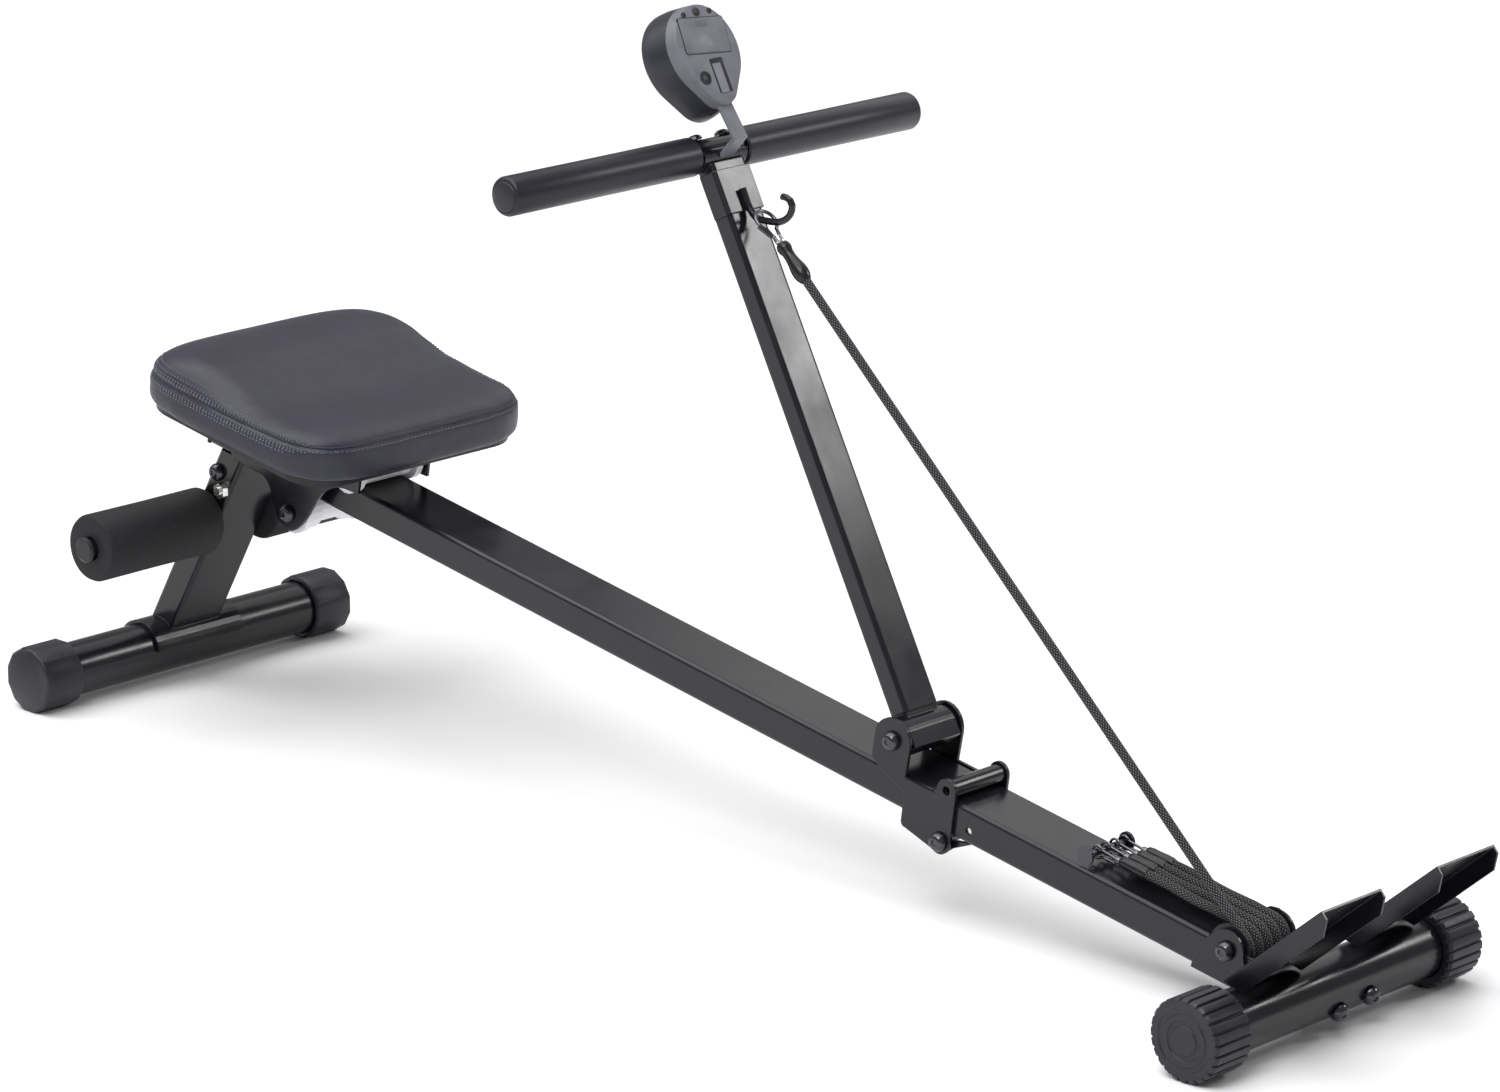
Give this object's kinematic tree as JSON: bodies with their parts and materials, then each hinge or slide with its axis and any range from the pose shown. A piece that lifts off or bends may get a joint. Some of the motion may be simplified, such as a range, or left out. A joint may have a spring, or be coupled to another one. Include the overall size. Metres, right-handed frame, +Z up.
{
  "type": "folding rowing machine",
  "caption": "Folding rower: a sloping box rail with a rolling seat, a swinging handle post with a monitor, elastic cords over a drum, foot plates and foam leg rollers",
  "frame": {"origin": "on the floor, under the middle of the bounding box", "axes": "+X from the seat to the foot plates, +Y to the rower's left, +Z up"},
  "size_m": [1.4702, 0.4792, 0.72],
  "materials": {
    "frame_paint": "black satin powder coat with fine texture",
    "bolt_black": "black oxide, slightly glossy",
    "zinc_steel": "bright zinc plate",
    "black_plastic": "moulded, fine matt grain",
    "monitor_plastic": "moulded grey, fine grain",
    "button_plastic": "smooth moulded red",
    "white_plastic": "smooth moulded nylon",
    "black_rubber": "moulded, dull",
    "roller_foam": "closed-cell foam with a dull skin",
    "grip_foam": "closed-cell foam with a dull skin",
    "cord_cover": "woven sleeve over an elastic core, grey flecks",
    "seat_leather": "grained synthetic leather, stitched"
  },
  "bodies": {
    "frame": {"rear_rail": "frame_paint", "rail_end_plug": "black_plastic", "rail_stop_bumper": "black_rubber", "rear_leg": "frame_paint", "leg_bolt_upper": "bolt_black", "leg_bolt_lower": "zinc_steel", "rear_floor_tube": "frame_paint", "rear_cap_right": "black_plastic", "rear_cap_left": "black_plastic", "foam_bar": "frame_paint", "foam_plug_right": "black_plastic", "foam_plug_left": "black_plastic", "post_pivot_bolt": "bolt_black", "fold_pivot_bolt": "bolt_black"},
    "foam_right": {"foam_roller_right": "roller_foam"},
    "foam_left": {"foam_roller_left": "roller_foam"},
    "front_section": {"front_rail": "frame_paint", "front_floor_tube": "frame_paint", "floor_tube_bolt_lower": "bolt_black", "floor_tube_bolt_upper": "bolt_black", "foot_plate_right": "frame_paint", "foot_plate_left": "frame_paint", "drum_axle_bolt": "bolt_black", "cord_anchor_pin": "bolt_black", "cord_end_pin": "zinc_steel", "parked_cord_1": "cord_cover", "parked_cord_2": "cord_cover", "parked_cord_3": "cord_cover", "parked_cord_4": "cord_cover", "working_cord_inner": "cord_cover", "working_cord_foot": "cord_cover"},
    "wheel_right": {"front_wheel_right": "black_plastic"},
    "wheel_left": {"front_wheel_left": "black_plastic"},
    "drum": {"cord_drum": "black_plastic"},
    "cord_lower": {"working_cord_lower": "cord_cover"},
    "cord_upper": {"working_cord_upper": "cord_cover"},
    "cord_end": {"working_snap_hook": "zinc_steel"},
    "post": {"handle_post": "frame_paint", "pivot_bush": "white_plastic", "handlebar": "frame_paint", "handle_bolt_right": "bolt_black", "handle_bolt_left": "bolt_black", "grip_right": "grip_foam", "grip_left": "grip_foam", "cord_hook_bracket": "frame_paint", "monitor_housing": "monitor_plastic", "monitor_rear_cover": "monitor_plastic", "battery_door": "monitor_plastic", "monitor_lens": "black_plastic", "monitor_board": "black_plastic"},
    "button": {"monitor_button": "button_plastic"},
    "seat": {"seat_carriage": "frame_paint", "axle_bolt_rear": "bolt_black", "axle_bolt_lower": "bolt_black", "axle_bolt_front": "bolt_black", "seat_board": "black_plastic", "seat_cushion": "seat_leather"},
    "roller_rear": {"seat_roller_rear": "white_plastic"},
    "roller_lower": {"seat_roller_lower": "white_plastic"},
    "roller_front": {"seat_roller_front": "white_plastic"}
  },
  "joints": [
    {"name": "post_pivot", "type": "hinge", "parent": "frame", "child": "post", "pos_m": [0.22653, 0, 0.14711], "axis": [0, -1, 0], "range_deg": [0, 25], "stiffness_Nm_per_rad": 22, "springref_deg": -34.38},
    {"name": "seat_slide", "type": "slide", "parent": "frame", "child": "seat", "axis": [0.9848, 0, -0.1736], "range_m": [0, 0.36]},
    {"name": "fold", "type": "hinge", "parent": "frame", "child": "front_section", "pos_m": [0.27893, 0, 0.07288], "axis": [0, 1, 0], "range_deg": [0, 180]},
    {"name": "foam_right_spin", "type": "hinge", "parent": "frame", "child": "foam_right", "pos_m": [-0.63262, -0.09875, 0.166], "axis": [0, 1, 0], "continuous": true},
    {"name": "foam_left_spin", "type": "hinge", "parent": "frame", "child": "foam_left", "pos_m": [-0.63262, 0.09875, 0.166], "axis": [0, 1, 0], "continuous": true},
    {"name": "wheel_right_spin", "type": "hinge", "parent": "front_section", "child": "wheel_right", "pos_m": [0.64788, -0.1444, 0.034], "axis": [0, 1, 0], "continuous": true},
    {"name": "wheel_left_spin", "type": "hinge", "parent": "front_section", "child": "wheel_left", "pos_m": [0.64788, 0.1444, 0.034], "axis": [0, 1, 0], "continuous": true},
    {"name": "drum_spin", "type": "hinge", "parent": "front_section", "child": "drum", "pos_m": [0.58027, 0, 0.05478], "axis": [0, 1, 0], "continuous": true},
    {"name": "cord_swing", "type": "hinge", "parent": "front_section", "child": "cord_lower", "pos_m": [0.58027, 0, 0.05478], "axis": [0, -1, 0], "range_deg": [0, 14.2]},
    {"name": "cord_stretch", "type": "slide", "parent": "cord_lower", "child": "cord_upper", "axis": [-0.7448, 0.0304, 0.6666], "range_m": [0, 0.062], "deforming": ["working_cord_lower"]},
    {"name": "cord_retract", "type": "slide", "parent": "cord_upper", "child": "cord_end", "axis": [0.7448, -0.0304, -0.6666], "range_m": [0, 0.641], "deforming": ["working_cord_upper"]},
    {"name": "button_press", "type": "slide", "parent": "post", "child": "button", "axis": [0.8862, 0, 0.4633], "range_m": [0, 0.001], "stiffness_N_per_m": 200},
    {"name": "roller_rear_spin", "type": "hinge", "parent": "seat", "child": "roller_rear", "pos_m": [-0.55405, 0, 0.27256], "axis": [0, 1, 0], "range_deg": [0, 1511]},
    {"name": "roller_lower_spin", "type": "hinge", "parent": "seat", "child": "roller_lower", "pos_m": [-0.50184, 0, 0.2001], "axis": [0, 1, 0], "range_deg": [-1151, 0]},
    {"name": "roller_front_spin", "type": "hinge", "parent": "seat", "child": "roller_front", "pos_m": [-0.42799, 0, 0.25034], "axis": [0, 1, 0], "range_deg": [0, 1511]}
  ],
  "couplings": [
    {"joint": "roller_rear_spin", "follows": "seat_slide", "rad_per_m": 72.993},
    {"joint": "roller_front_spin", "follows": "seat_slide", "rad_per_m": 72.993},
    {"joint": "roller_lower_spin", "follows": "seat_slide", "rad_per_m": -55.556},
    {"joint": "cord_swing", "follows": "post_pivot", "ratio": 0.5474},
    {"joint": "cord_stretch", "follows": "post_pivot", "m_per_rad": 0.14077},
    {"joint": "cord_retract", "follows": "fold", "m_per_rad": 0.20372}
  ]
}
